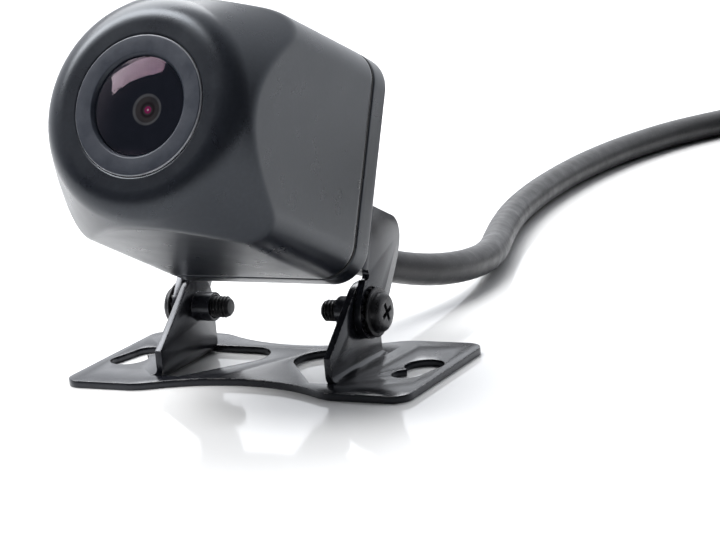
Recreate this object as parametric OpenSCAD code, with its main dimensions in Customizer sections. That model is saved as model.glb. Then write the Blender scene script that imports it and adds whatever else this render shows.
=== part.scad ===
// Square metal backup camera on a tilting sheet-metal bracket, with its lead and plug.
// Millimetres. Origin: centre of the base plate's underside. +Z is up, the lens looks
// along -Y and X runs across. The head is drawn in its own frame, whose origin is the
// pivot axis, and tilted back about it.

/* [Base bracket] */
// Length of the base plate, end to end
plate_l = 50.4; // [48:0.2:60]
// Width of the plate across each end
plate_end_w = 25; // [25:0.2:30]
// Width of the plate at its waist
plate_waist_w = 16.4; // [16:0.2:17]
// Radius of the waist's hollow edges
waist_r = 24; // [22:1:28]
// Thickness of both bent sheets
sheet_t = 1; // [0.8:0.1:1.1]
// Height of the pivot axis above the underside
pivot_h = 7.6; // [7.2:0.1:9]
// Pivot axis behind the middle of the plate
pivot_y = 2.4; // [1.5:0.1:2.8]
// Radius of the ear around the pivot
ear_r = 4; // [3.6:0.1:4.2]
// Front edge of the ear, before the middle of the plate
ear_front = 8.2; // [7.5:0.1:8.4]
// Height at which the ear's front edge starts to slant
ear_knee_h = 4.2; // [3.5:0.1:5]

/* [Head] */
// Width and height of the square housing
head_w = 30.7; // [29.5:0.1:32]
// Length from the flat front to the rear face
head_l = 35; // [33:0.1:38]
// Thickness of the rear cover's rim
cover_t = 3.8; // [3:0.1:4.5]
// Corner radius of the square
corner_r = 4.5; // [4:0.5:6]
// Draft of the housing's sides, degrees
draft = 1.6; // [0.5:0.1:2]
// Housing's underside above the pivot axis
head_lift = 2.25; // [2.25:0.05:4]
// Rear face before the pivot axis
head_gap = 4.6; // [4.5:0.1:6]
// Tilt of the lens above level, degrees
tilt = 25; // [0:1:40]

/* [Lens] */
// Outer radius of the trim ring
trim_r = 8.75; // [8.4:0.05:9]
// Radius of the opening in the trim ring
aperture_r = 6.2; // [6:0.1:6.6]
// Radius of curvature of the front lens
dome_r = 8.6; // [8:0.1:11]

/* [Screws] */
// Thread radius of the pivot screws
pivot_screw_r = 1.5; // [1.5:0.05:1.5]
// Radius of the pivot screws' flange
pivot_flange_r = 3.3; // [3.2:0.1:3.6]
// Length of thread that stands inside each ear
pivot_screw_out = 5; // [4:0.5:6]

/* [Lead] */
// Diameter of the lead
lead_d = 4.6; // [4.6:0.1:4.6]
// Radius of the coil at the middle of its turns
coil_r = 23.2; // [23.2:0.1:23.2]

/* [Hidden] */
$fn = 64;

fit = 0.05;                 // radial clearance of a running fit
small_gap = 0.1;            // clearance between plain parts
bend_r = 0.8;               // inner radius of the sheet bends
bend_allow = 1.5;           // length of sheet that one bend takes up
ear_out = 13;               // outer face of a base ear, from the middle
yoke_out = ear_out + small_gap + sheet_t;   // outer face of a yoke ear
knee_blend_r = 6;           // rounding between the plate's waist and its ends
plate_corner_r = 2.5;
boss_r = 1.95;              // tapped collar drawn out of each base ear
boss_l = 2.6;

front_y = -head_gap - head_l;               // flat front, in the head's frame
part_y = -head_gap - cover_t;               // parting face between housing and cover
axis_z = head_lift + head_w / 2;            // lens axis above the pivot axis
shell_t = 1.8;
exit_z = 10.5;              // lead's exit above the pivot axis
gland_out = 12;             // gland's length behind the rear face
cavity_w = head_w - 2 * shell_t;
boss_top_x = 11;            // upper cover screws, from the lens axis
boss_top_z = 11;
boss_low_x = 9;             // yoke screws, from the lens axis
boss_low_z = -9.6;
boss_hole_r = 0.85;
yoke_top = 28;              // top of the yoke's web, above the pivot axis
yoke_web_w = 2 * (yoke_out - sheet_t - bend_r);
yoke_ear_top = 13.4;
yoke_bend_low = 4.9;        // lower end of the yoke's bends
yoke_ear_back = 5.6;
yoke_lobe_r = 3.5;

lead_r = lead_d / 2;
coil_c = [42, 157];         // centre of the coil on the floor
coil_half_w = lead_d;       // half the width of two turns side by side
coil_h = 9.1;               // height of two layers of turns
plug_x = coil_c[0] + 20;   // beside the coil, no further out than its edge
plug_h = 7;                 // height of the plug's axis
plug_y = 124;               // end of the boot that the lead enters

ink = [0.055, 0.057, 0.062];
gloss = [0.02, 0.02, 0.024];

// ---- frames -------------------------------------------------------------------------

// A point of the head's frame in the row's frame
function head_point(p) = [
    p[0],
    pivot_y + p[1] * cos(tilt) + p[2] * sin(tilt),
    pivot_h - p[1] * sin(tilt) + p[2] * cos(tilt)
];

module in_head() translate([0, pivot_y, pivot_h]) rotate([-tilt, 0, 0]) children();

// Draws a round shape along +Z so that it runs backwards from the flat front
module on_lens_axis(depth = 0)
    in_head() translate([0, front_y + depth, axis_z]) rotate([-90, 0, 0]) children();

module both_sides() {
    children();
    mirror([1, 0, 0]) children();
}

// ---- shared shapes ------------------------------------------------------------------

module rounded_square(w, h, r) {
    square([w - 2 * r, h], center = true);
    square([w, h - 2 * r], center = true);
    for (x = [-1, 1], y = [-1, 1])
        translate([x * (w / 2 - r), y * (h / 2 - r)]) circle(r);
}

module ring(r_out, r_in, h) {
    difference() {
        cylinder(r = r_out, h = h);
        translate([0, 0, -1]) cylinder(r = r_in, h = h + 2);
    }
}

// Quarter bend of a sheet: its centre at the origin, drawn from -X round to -Y
module sheet_bend(length) {
    linear_extrude(length) intersection() {
        difference() {
            circle(bend_r + sheet_t);
            circle(bend_r);
        }
        translate([-10, -10]) square([10, 10]);
    }
}

// Points of an arc, n steps from angle a to angle b
function arc(c, r, a, b, n) =
    [for (i = [0:n]) let(t = a + (b - a) * i / n) [c[0] + r * cos(t), c[1] + r * sin(t)]];

// ---- base bracket -------------------------------------------------------------------

// One quarter of the plate's edge, from the waist to the middle of the right end
blend_c_y = plate_end_w / 2 - knee_blend_r;
waist_c_y = plate_waist_w / 2 + waist_r;
blend_c_x = sqrt(pow(waist_r + knee_blend_r, 2) - pow(waist_c_y - blend_c_y, 2));
waist_turn = atan2(blend_c_x, waist_c_y - blend_c_y);
plate_quarter = concat(
    arc([0, waist_c_y], waist_r, 270, 270 + waist_turn, 10),
    arc([blend_c_x, blend_c_y], knee_blend_r, 90 + waist_turn, 90, 6),
    arc([plate_l / 2 - plate_corner_r, plate_end_w / 2 - plate_corner_r],
        plate_corner_r, 90, 0, 8)
);

module plate_outline() {
    for (sx = [-1, 1], sy = [-1, 1])
        scale([sx, sy]) polygon(concat(plate_quarter, [[plate_l / 2, 0], [0, 0]]));
}

// The ear seen from its side: X is along the row's Y, Y is the height
ear_dx = pivot_y + ear_front;
ear_dz = pivot_h - ear_knee_h;
ear_slant = atan2(ear_dz, ear_dx) + asin(ear_r / norm([ear_dx, ear_dz]));
module ear_outline(grow = 0) {
    r = ear_r + grow;
    translate([pivot_y, pivot_h]) circle(r);
    polygon([
        [-ear_front - grow, 0],
        [-ear_front - grow, ear_knee_h + grow / 2],
        [pivot_y - r * sin(ear_slant), pivot_h + r * cos(ear_slant)],
        [pivot_y, pivot_h],
        [pivot_y + r, pivot_h],
        [pivot_y + r, 0]
    ]);
}

// The keyhole for a mounting screw: a wide end, a narrow end and the straight outer side
keyhole_wide = [21.3, 1.6, 2.6];
keyhole_slim = [20.8, -2.4, 2.1];
module keyhole() {
    translate([keyhole_wide[0], keyhole_wide[1]]) circle(keyhole_wide[2]);
    translate([keyhole_slim[0], keyhole_slim[1]]) circle(keyhole_slim[2]);
    polygon([
        [keyhole_wide[0], keyhole_wide[1]],
        [keyhole_wide[0] + keyhole_wide[2], keyhole_wide[1]],
        [keyhole_slim[0] + keyhole_slim[2], keyhole_slim[1]],
        [keyhole_slim[0], keyhole_slim[1]]
    ]);
}

// The window that one ear was cut and bent out of, in the plate's own plane
window_out = ear_out + bend_r;
window_shift = window_out - bend_allow + sheet_t + bend_r;
module window() {
    intersection() {
        translate([window_shift, 0]) rotate(90) ear_outline(0.2);
        translate([0, -20]) square([window_out, 40]);
    }
}

module base_ear() {
    difference() {
        union() {
            translate([ear_out - sheet_t, 0, 0]) rotate([90, 0, 90])
                linear_extrude(sheet_t) intersection() {
                    ear_outline();
                    translate([-20, sheet_t + bend_r]) square([40, 20]);
                }
            translate([ear_out + bend_r, pivot_y + ear_r, sheet_t + bend_r])
                rotate([90, 0, 0]) sheet_bend(pivot_y + ear_r + ear_front);
            translate([ear_out - sheet_t - boss_l, pivot_y, pivot_h])
                rotate([0, 90, 0]) cylinder(r = boss_r, h = boss_l + 0.5);
        }
        translate([0, pivot_y, pivot_h]) rotate([0, 90, 0])
            cylinder(r = pivot_screw_r + fit, h = 20);
    }
}

module base_bracket() color(gloss) {
    linear_extrude(sheet_t) difference() {
        plate_outline();
        both_sides() window();
        keyhole();
        rotate(180) keyhole();
    }
    both_sides() base_ear();
}

// ---- pivot screws -------------------------------------------------------------------

screw_face = yoke_out + 0.5;        // inner face of the flange, past the lock washer
pivot_head_r = 2.65;
pivot_flange_t = 0.4;
pivot_head_h = 1.2;
module cross_recess(width, depth) {
    for (a = [0, 90]) rotate(a)
        translate([-width / 2, -width / 8, -depth]) cube([width, width / 4, depth + 1]);
}

module pivot_screw() {
    difference() {
        union() {
            translate([ear_out - sheet_t - pivot_screw_out, 0, 0]) rotate([0, 90, 0])
                cylinder(r = pivot_screw_r, h = screw_face - ear_out + sheet_t + pivot_screw_out + 0.1);
            translate([screw_face, 0, 0]) rotate([0, 90, 0])
                cylinder(r = pivot_flange_r, h = pivot_flange_t);
            translate([screw_face + pivot_flange_t, 0, 0]) rotate([0, 90, 0])
                rotate_extrude() polygon(concat([[0, -0.1], [pivot_head_r, -0.1]],
                    arc([pivot_head_r - 1, pivot_head_h - 1], 1, 0, 90, 6), [[0, pivot_head_h]]));
        }
        translate([screw_face + pivot_flange_t + pivot_head_h, 0, 0]) rotate([0, 90, 0])
            cross_recess(2.8, 1);
    }
}

module pivot_screws() color(gloss)
    translate([0, pivot_y, pivot_h]) both_sides() pivot_screw();

// Internal-tooth washers between the screw's flange and the yoke
module lock_washers() color([0.12, 0.12, 0.13])
    translate([0, pivot_y, pivot_h]) both_sides()
        translate([yoke_out, 0, 0]) rotate([0, 90, 0])
            ring(pivot_flange_r - 0.1, pivot_screw_r + 0.15, screw_face - yoke_out);

// ---- yoke ---------------------------------------------------------------------------

// The yoke's ear from its side, in the head's frame: X is back, Y is up
ear_corner_r = 3;
module yoke_ear_outline() {
    y_bend = -head_gap + sheet_t + bend_r;
    back_low = 8.6;
    taper = atan2(back_low, yoke_ear_back);
    d = norm([yoke_ear_back, back_low]);
    tangent_a = taper - acos(yoke_lobe_r / d);
    circle(yoke_lobe_r);
    translate([yoke_ear_back - ear_corner_r, yoke_ear_top - ear_corner_r]) circle(ear_corner_r);
    polygon([
        [-yoke_lobe_r, 0],
        [y_bend, yoke_bend_low],
        [y_bend, yoke_ear_top],
        [yoke_ear_back - ear_corner_r, yoke_ear_top],
        [yoke_ear_back - ear_corner_r, yoke_ear_top - ear_corner_r],
        [yoke_ear_back, yoke_ear_top - ear_corner_r],
        [yoke_ear_back, back_low],
        [yoke_lobe_r * cos(tangent_a), yoke_lobe_r * sin(tangent_a)],
        [0, 0]
    ]);
}

module yoke_ear() {
    difference() {
        translate([yoke_out - sheet_t, 0, 0]) rotate([90, 0, 90])
            linear_extrude(sheet_t) difference() {
                yoke_ear_outline();
                translate([-head_gap + sheet_t + bend_r, yoke_bend_low - 0.6]) circle(0.7);
            }
        rotate([0, 90, 0]) cylinder(r = pivot_screw_r + small_gap, h = 20);
    }
    translate([yoke_out - sheet_t - bend_r, -head_gap + sheet_t + bend_r, yoke_bend_low])
        rotate([0, 0, 90]) sheet_bend(yoke_ear_top - yoke_bend_low);
}

yoke_low = 3;               // lower edge of the web, between the base ears
yoke_low_w = 22.6;
yoke_web_corner_r = 3;
module yoke_web() {
    difference() {
        translate([0, -head_gap + sheet_t, 0]) rotate([90, 0, 0]) linear_extrude(sheet_t)
            difference() {
                union() {
                    translate([0, (yoke_top + yoke_bend_low) / 2])
                        rounded_square(yoke_web_w, yoke_top - yoke_bend_low, yoke_web_corner_r);
                    translate([-yoke_web_w / 2, yoke_bend_low])
                        square([yoke_web_w, yoke_ear_top - yoke_bend_low]);
                    translate([-yoke_low_w / 2, yoke_low]) square([yoke_low_w, 4]);
                }
                translate([0, exit_z]) circle(gland_r + 0.4);
            }
        for (x = [-boss_low_x, boss_low_x], z = [boss_low_z, boss_top_z])
            translate([x, -head_gap - 1, axis_z + z]) rotate([-90, 0, 0])
                cylinder(r = 1.15, h = 4);
    }
}

module yoke() color(gloss) in_head() {
    yoke_web();
    both_sides() yoke_ear();
}

// Pan-head screws that hold the yoke and the cover to the housing
yoke_head_h = 1.2;
module yoke_screws() color(gloss) in_head()
    for (x = [-boss_low_x, boss_low_x])
        translate([x, -head_gap + sheet_t, axis_z + boss_low_z]) rotate([-90, 0, 0])
            difference() {
                union() {
                    translate([0, 0, -9]) cylinder(r = boss_hole_r - fit, h = 9.1);
                    cylinder(r = 1.9, h = yoke_head_h);
                }
                translate([0, 0, yoke_head_h]) cross_recess(1.8, 0.7);
            }

// ---- housing ------------------------------------------------------------------------

housing_l = head_l - cover_t;   // flat front to the parting face
gasket_t = 0.35;            // flat gasket between the housing's rim and the cover
gasket_inset = 0.4;
nose_r = 12.7;              // radius at which the cone would meet the front plane
nose_k = 0.5;               // growth of the cone's radius per millimetre of depth
shoulder_r = 2.5;           // rounding between the flat front and the cone
nose_a = atan(nose_k);
shoulder_c = nose_r + nose_k * shoulder_r - shoulder_r / cos(nose_a);
nose_max_r = head_w * 0.72;

// Solid of revolution, along +Z from the flat front, that rounds the square's front off
module nose() {
    rotate_extrude() polygon(concat(
        [[0, 0]],
        [for (p = arc([shoulder_c, shoulder_r], shoulder_r, -90, -nose_a, 8)) p],
        [
            [nose_max_r, (nose_max_r - nose_r) / nose_k],
            [nose_max_r, housing_l - gasket_t],
            [0, housing_l - gasket_t]
        ]
    ));
}

// Square prism with rounded edges whose sides draw in towards the front
module drafted_prism() {
    half = head_w / 2;
    front_half = half - housing_l * tan(draft);
    side = [[-front_half, 0], [front_half, 0], [half, housing_l], [-half, housing_l]];
    intersection() {
        linear_extrude(housing_l) rounded_square(head_w, head_w, corner_r);
        rotate([90, 0, 0]) linear_extrude(2 * head_w, center = true) polygon(side);
        rotate([90, 0, 90]) linear_extrude(2 * head_w, center = true) polygon(side);
    }
}

trim_depth = 1.4;           // seat of the trim ring behind the flat front
seal_depth = 1.95;          // floor of the groove under the trim ring
barrel_r = 7.3;
cavity_front = 14;
boss_front = 21.5;

boss_out_r = 2.1;
module screw_places(depth, length, r) {
    for (x = [-boss_top_x, boss_top_x])
        translate([x, -boss_top_z, depth]) cylinder(r = r, h = length);
    for (x = [-boss_low_x, boss_low_x])
        translate([x, -boss_low_z, depth]) cylinder(r = r, h = length);
}

module front_housing() color(ink) on_lens_axis() {
    difference() {
        intersection() {
            nose();
            drafted_prism();
        }
        translate([0, 0, cavity_front]) linear_extrude(boss_front - cavity_front)
            rounded_square(cavity_w, cavity_w, corner_r - 1.5);
        translate([0, 0, boss_front - 0.01]) linear_extrude(housing_l) cavity_outline();
        screw_places(boss_front + 1, housing_l, boss_hole_r);
        translate([0, 0, -1]) cylinder(r = trim_r + fit, h = 1 + seal_depth);
        translate([0, 0, -1]) cylinder(r = barrel_r + small_gap, h = cavity_front + 2);
    }
}

module cover_outline(inset = 0)
    rounded_square(head_w - 2 * inset, head_w - 2 * inset, corner_r - inset);

cover_round = 0.6;          // rounding of the cover's rear edge
cover_steps = 4;
module rear_cover() color(ink) on_lens_axis(housing_l) {
    difference() {
        union() {
            linear_extrude(cover_t - cover_round) cover_outline();
            for (i = [0:cover_steps - 1])
                translate([0, 0, cover_t - cover_round + i * cover_round / cover_steps])
                    linear_extrude(cover_round / cover_steps)
                        cover_outline(cover_round * (1 - cos(asin((i + 0.5) / cover_steps))));
        }
        translate([0, 0, -1]) linear_extrude(2.4) rounded_square(17, 15, 1.5);
        translate([0, axis_z - exit_z, -1]) cylinder(r = gland_neck_r + fit, h = cover_t + 2);
        screw_places(-1, cover_t + 2, 1.05);
        for (x = [-boss_top_x, boss_top_x]) translate([x, -boss_top_z, cover_t - 1.2])
            cylinder(r = 2, h = 2);
    }
}

// The housing's hollow behind the sensor board, with its screw bosses left standing
module cavity_outline() {
    difference() {
        rounded_square(cavity_w, cavity_w, corner_r - 1.5);
        for (x = [-boss_top_x, boss_top_x]) translate([x, -boss_top_z]) circle(boss_out_r);
        for (x = [-boss_low_x, boss_low_x]) translate([x, -boss_low_z]) circle(boss_out_r);
        for (x = [-12.6, 12.6]) translate([x, -12.6]) square(3.6, center = true);
        for (x = [-boss_low_x, boss_low_x]) translate([x, cavity_w / 2])
            square([2 * boss_out_r, 2.6 * boss_out_r], center = true);
    }
}

module cover_gasket() color([0.03, 0.03, 0.03]) on_lens_axis(housing_l - gasket_t)
    difference() {
        linear_extrude(gasket_t) difference() {
            cover_outline(gasket_inset);
            cavity_outline();
        }
        screw_places(-1, 3, 1.05);
    }

module cover_screws() color(gloss) on_lens_axis(housing_l + cover_t)
    for (x = [-boss_top_x, boss_top_x]) translate([x, -boss_top_z, 0])
        difference() {
            union() {
                translate([0, 0, -9]) cylinder(r = boss_hole_r - fit, h = 9 - 1.1);
                translate([0, 0, -1.2]) cylinder(r = 1.8, h = 1.1);
            }
            translate([0, 0, -0.1]) cross_recess(1.8, 0.6);
        }

gland_r = 4.4;
gland_neck_r = 3.2;
gland_tip_r = 2.9;
module cable_gland() color([0.05, 0.05, 0.055])
    in_head() translate([0, -head_gap, exit_z]) rotate([-90, 0, 0])
        rotate_extrude() polygon([
            [0, -cover_t - 0.4], [gland_neck_r, -cover_t - 0.4], [gland_neck_r, 0],
            [gland_r, 0], [gland_r, 1.6], [3.9, 2.4], [gland_tip_r, gland_out], [0, gland_out]
        ]);

// ---- lens ---------------------------------------------------------------------------

module trim_ring() color([0.09, 0.09, 0.1]) on_lens_axis()
    rotate_extrude() polygon([
        [aperture_r, 0.5], [aperture_r + 0.5, -0.25], [trim_r - 0.3, -0.25],
        [trim_r, 0.05], [trim_r, trim_depth], [aperture_r, trim_depth]
    ]);

module trim_seal() color([0.1, 0.1, 0.1]) on_lens_axis()
    rotate_extrude() translate([trim_r - 0.6, (trim_depth + seal_depth) / 2])
        circle((seal_depth - trim_depth) / 2, $fn = 24);

// A lens with a front bulge and a rear hollow, from its radii of curvature
function sag(r, x) = r - sqrt(r * r - x * x);
function bow(r, x0, x1, z, n) =
    [for (i = [0:n]) let(x = x0 + (x1 - x0) * i / n) [x, z + sag(r, x)]];

front_lens_rim = 6.9;
module front_lens() color([0.08, 0.07, 0.1, 0.6]) on_lens_axis()
    rotate_extrude() polygon(concat(
        bow(dome_r, 0, aperture_r + 0.3, 0.3, 16),
        [[front_lens_rim, 3.3], [front_lens_rim, 4.6], [4.4, 4.6]],
        bow(5.2, 4.2, 0, 1.9, 12)
    ));

barrel_front = 2.1;
barrel_back = 18;
module lens_barrel() color([0.03, 0.03, 0.03]) on_lens_axis()
    rotate_extrude() polygon([
        [front_lens_rim + fit, barrel_front], [barrel_r, barrel_front],
        [barrel_r, barrel_back], [3.6, barrel_back], [3.6, 5.2], [4.6, 4.6 + fit],
        [front_lens_rim + fit, 4.6 + fit]
    ]);

module second_lens() color([0.1, 0.1, 0.12, 0.5]) on_lens_axis()
    rotate_extrude() polygon(concat(
        bow(7, 0, 3.5, 5.9, 8), [[3.5, 8.2]], bow(9, 2.6, 0, 7.8, 6)
    ));

module aperture_stop() color([0.02, 0.02, 0.02]) on_lens_axis(8.3) ring(3.5, 1.3, 0.4);

module third_lens() color([0.1, 0.1, 0.12, 0.5]) on_lens_axis()
    rotate_extrude() polygon(concat(
        bow(9, 0, 3.5, 8.8, 8), [[3.5, 11], [0, 11]]
    ));

module lens_spacer() color([0.03, 0.03, 0.03]) on_lens_axis(11.1) ring(3.5, 2.7, 1.2);

module rear_lens() color([0.1, 0.1, 0.12, 0.5]) on_lens_axis()
    rotate_extrude() polygon(concat(
        [[0, 12.4], [3.5, 12.4], [3.5, 13.2]],
        [for (p = bow(6, 3.2, 0, 0, 8)) [p[0], 14.6 - p[1]]]
    ));

module lens_retainer() color([0.05, 0.05, 0.05]) on_lens_axis(15) ring(3.5, 2.4, 1.4);

// ---- boards and sensor --------------------------------------------------------------

holder_w = 18;
sensor_z = 20.2;            // front face of the sensor board
board_t = 1.2;
module sensor_holder() color([0.06, 0.06, 0.065]) on_lens_axis() {
    difference() {
        union() {
            translate([0, 0, cavity_front + 1.6]) cylinder(r = 8.7, h = 3);
            translate([0, 0, 18.2]) linear_extrude(sensor_z - 18.2)
                rounded_square(holder_w, holder_w, 1.5);
        }
        translate([0, 0, 10]) cylinder(r = barrel_r + fit, h = 8.2);
        translate([0, 0, 17]) linear_extrude(5) square(9.4, center = true);
    }
}

module ir_filter() color([0.2, 0.32, 0.35, 0.5]) on_lens_axis(16.9)
    translate([0, 0, 0.3]) linear_extrude(0.5) square(4.8, center = true);

module image_sensor() color([0.1, 0.11, 0.13]) on_lens_axis(sensor_z - 1.4) {
    translate([0, 0, 0.3]) linear_extrude(1.1) square(8.6, center = true);
    linear_extrude(0.4) square([5.4, 4.2], center = true);
}

module sensor_board() color([0.05, 0.22, 0.12]) on_lens_axis(sensor_z)
    difference() {
        linear_extrude(board_t) difference() {
            rounded_square(24, 24, 2.5);
            for (x = [-1, 1], y = [-1, 1]) translate([x * 12.3, y * 12.3])
                square(2.6, center = true);
        }
        for (x = [-7.2, 7.2], y = [-6.5, 6.5])
            translate([x, y, -1]) cylinder(r = 0.85, h = 4);
    }

spacer_l = 3.4;
proc_z = sensor_z + board_t + spacer_l;
module board_spacers() color([0.75, 0.6, 0.3]) on_lens_axis(sensor_z + board_t)
    for (x = [-7.2, 7.2], y = [-6.5, 6.5])
        translate([x, y, 0]) ring(1.3, 0.8, spacer_l);

module processor_board() color([0.05, 0.22, 0.12]) on_lens_axis(proc_z)
    difference() {
        linear_extrude(board_t) rounded_square(17.2, 15.6, 1);
        for (x = [-7.2, 7.2], y = [-6.5, 6.5])
            translate([x, y, -1]) cylinder(r = 0.85, h = 4);
    }

module processor_chip() color([0.06, 0.06, 0.07]) on_lens_axis(proc_z - 1)
    linear_extrude(1) rounded_square(7, 7, 0.3);

module board_screws() color([0.7, 0.7, 0.72]) on_lens_axis(proc_z + board_t)
    for (x = [-7.2, 7.2], y = [-6.5, 6.5]) translate([x, y, 0]) {
        cylinder(r = 1.25, h = 0.8);
        translate([0, 0, -5]) cylinder(r = 0.7, h = 5.1);
    }

header_h = 2.6;
header_z = proc_z + board_t;
module lead_header() color([0.85, 0.83, 0.78]) on_lens_axis(header_z)
    linear_extrude(header_h) square([8, 3.4], center = true);

// Wires from the board's header to the gland's inner end
module inner_leads() color([0.6, 0.1, 0.1]) on_lens_axis(header_z + header_h)
    for (i = [-2:2]) translate([i * 1.1, 0, 0]) {
        end_z = head_l - cover_t - 0.4 - header_z - header_h;
        rotate([-90, 0, 0]) translate([0, -end_z / 2, 0]) cylinder(r = 0.35, h = 6, $fn = 16);
        cylinder(r = 0.35, h = end_z / 2, $fn = 16);
        translate([0, 6, end_z / 2]) cylinder(r = 0.35, h = end_z / 2, $fn = 16);
    }

// ---- lead ---------------------------------------------------------------------------

gland_end = head_point([0, -head_gap + gland_out, exit_z]);
lead_points = concat([gland_end], [
    [0.1, 16.5, 12.6], [0.8, 20, 10.9], [2.4, 23.5, 9.1], [4.6, 27, 7.4], [6.5, 31, 6],
    [7.9, 35, 5], [8.7, 39.5, 4.2], [8.9, 44, 3.6], [8.4, 50, 3], [6.8, 57, 2.6],
    [4.5, 64, 2.4], [2, 72, 2.3], [-0.5, 82, 2.3], [-2.2, 93, 2.3], [-3, 104, 2.3],
    [-3, 115, 2.3], [-2, 126, 2.3], [0, 136, 2.3], [3.2, 146, 2.3], [8.2, 155.4, 2.3],
    [14.3, 164, 2.3], [20, 171.2, 2.3]
]);
tail_points = [
    [coil_c[0] + coil_r + lead_r, coil_c[1] - 2, 6.8], [67, 149, 6.8], [65.7, 142, 6.8],
    [63.9, 135.5, 6.9], [62.4, 130, 7], [plug_x, plug_y + 2.5, plug_h],
    [plug_x, plug_y, plug_h]
];

function unit(v) = v / norm(v);
function direction(points, i) =
    unit(points[min(i + 1, len(points) - 1)] - points[max(i - 1, 0)]);
function ring_at(points, i, r, sides, dir) =
    let(side = unit(cross(dir, [0, 0, 1])), up = cross(side, dir))
    [for (k = [0:sides - 1])
        points[i] + r * cos(360 * k / sides) * side + r * sin(360 * k / sides) * up];

// A tube along a route. start_dir sets the first ring square to what the tube meets.
module tube(points, r, start_dir) {
    sides = 12;
    n = len(points);
    rings = [for (i = [0:n - 1])
        each ring_at(points, i, r, sides, i == 0 ? start_dir : direction(points, i))];
    faces = concat(
        [[for (k = [sides - 1:-1:0]) k]],
        [for (i = [0:n - 2], k = [0:sides - 1]) let(k2 = (k + 1) % sides)
            [i * sides + k, i * sides + k2, (i + 1) * sides + k2, (i + 1) * sides + k]],
        [[for (k = [0:sides - 1]) (n - 1) * sides + k]]
    );
    polyhedron(rings, faces, convexity = 6);
}

module cable_lead() color([0.16, 0.16, 0.165])
    tube(lead_points, lead_r, [0, cos(tilt), -sin(tilt)]);

module cable_tail() color([0.16, 0.16, 0.165]) tube(tail_points, lead_r, [0, -1, 0]);

module cable_coil() color([0.16, 0.16, 0.165]) translate(coil_c)
    rotate_extrude() translate([coil_r, coil_h / 2])
        rounded_square(2 * coil_half_w, coil_h, 2);

// ---- plug ---------------------------------------------------------------------------

// Draws a round shape along +Z so that it runs from the lead's end to the plug's mouth
module on_plug_axis(along = 0)
    translate([plug_x, plug_y - along, plug_h]) rotate([90, 0, 0]) children();

boot_l = 15;
shell_l = 27;
shell_r = 5.4;
module plug_boot() color([0.05, 0.05, 0.055]) on_plug_axis()
    rotate_extrude() polygon([
        [0, 0], [2.9, 0], [4.3, boot_l - 3], [4.3, boot_l], [0, boot_l]
    ]);

module plug_shell() color([0.6, 0.6, 0.62]) on_plug_axis(boot_l)
    difference() {
        rotate_extrude() polygon([
            [0, 0], [4.9, 0], [shell_r, 0.6], [shell_r, 10], [6, 10], [6, 11.5],
            [shell_r, 11.5], [shell_r, shell_l], [4.6, shell_l], [4.6, 14], [0, 14]
        ]);
        translate([0, 0, -1]) cylinder(r = 2.6, h = 3);
    }

module plug_insert() color([0.08, 0.08, 0.08]) on_plug_axis(boot_l + 14)
    difference() {
        cylinder(r = 4.55, h = 5);
        for (a = [45:90:315]) rotate(a) translate([2.2, 0, 1]) cylinder(r = 0.55, h = 5);
    }

module plug_pins() color([0.8, 0.65, 0.3]) on_plug_axis(boot_l + 15)
    for (a = [45:90:315]) rotate(a) translate([2.2, 0, 0]) cylinder(r = 0.5, h = 10);

// The coupling nut turns freely on the shell, between its flange and its mouth
collar_r = plug_h;
collar_l = 13.5;
module plug_collar() color([0.62, 0.62, 0.64]) on_plug_axis(boot_l + 11.6)
    difference() {
        cylinder(r = collar_r, h = collar_l);
        translate([0, 0, -1]) cylinder(r = shell_r + fit, h = collar_l + 2);
        for (a = [0:20:340]) rotate(a) translate([collar_r + 0.5, 0, 2])
            cylinder(r = 0.8, h = collar_l - 4, $fn = 16);
    }

// ---- parts --------------------------------------------------------------------------

base_bracket();
pivot_screws();
lock_washers();
yoke();
yoke_screws();
front_housing();
rear_cover();
cover_gasket();
cover_screws();
cable_gland();
trim_ring();
trim_seal();
front_lens();
lens_barrel();
second_lens();
aperture_stop();
third_lens();
lens_spacer();
rear_lens();
lens_retainer();
sensor_holder();
ir_filter();
image_sensor();
sensor_board();
board_spacers();
processor_board();
processor_chip();
board_screws();
lead_header();
inner_leads();
cable_lead();
cable_coil();
cable_tail();
plug_boot();
plug_shell();
plug_insert();
plug_pins();
plug_collar();
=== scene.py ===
import math

import bmesh
import bpy
from mathutils import Matrix, Vector


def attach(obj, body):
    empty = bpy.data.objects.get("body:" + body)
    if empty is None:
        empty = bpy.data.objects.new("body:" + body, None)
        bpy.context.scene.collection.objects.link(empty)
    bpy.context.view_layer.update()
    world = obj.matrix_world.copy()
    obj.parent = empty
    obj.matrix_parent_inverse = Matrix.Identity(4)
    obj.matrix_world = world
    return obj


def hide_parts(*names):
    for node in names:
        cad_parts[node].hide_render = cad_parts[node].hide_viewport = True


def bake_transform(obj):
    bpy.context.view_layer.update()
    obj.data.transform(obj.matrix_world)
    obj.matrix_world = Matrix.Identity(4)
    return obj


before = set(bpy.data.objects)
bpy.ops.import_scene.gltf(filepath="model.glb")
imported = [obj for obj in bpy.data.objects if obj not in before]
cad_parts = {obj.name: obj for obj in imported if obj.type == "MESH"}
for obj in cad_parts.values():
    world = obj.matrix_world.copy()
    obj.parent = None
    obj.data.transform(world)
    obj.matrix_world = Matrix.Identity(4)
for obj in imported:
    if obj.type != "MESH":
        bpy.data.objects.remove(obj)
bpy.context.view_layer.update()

# Shapes are written in millimetres in the frame of the CAD model, and scaled by MM
# when their mesh is made. The head's own frame has the pivot axis as its origin.
MM = 0.001
QUARTER = math.radians(90)
TILT = math.radians(25)
PIVOT = Vector((0.0, 2.4, 7.6))
FRONT_Y = -39.6         # flat front of the housing
REAR_Y = -4.6           # back of the rear cover
AXIS_Z = 17.6           # lens axis above the pivot axis
EXIT_Z = 10.5           # lead's exit above the pivot axis
HOUSING_L = 31.2        # flat front to the parting face
COVER_T = 3.8
GASKET_T = 0.35
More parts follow.
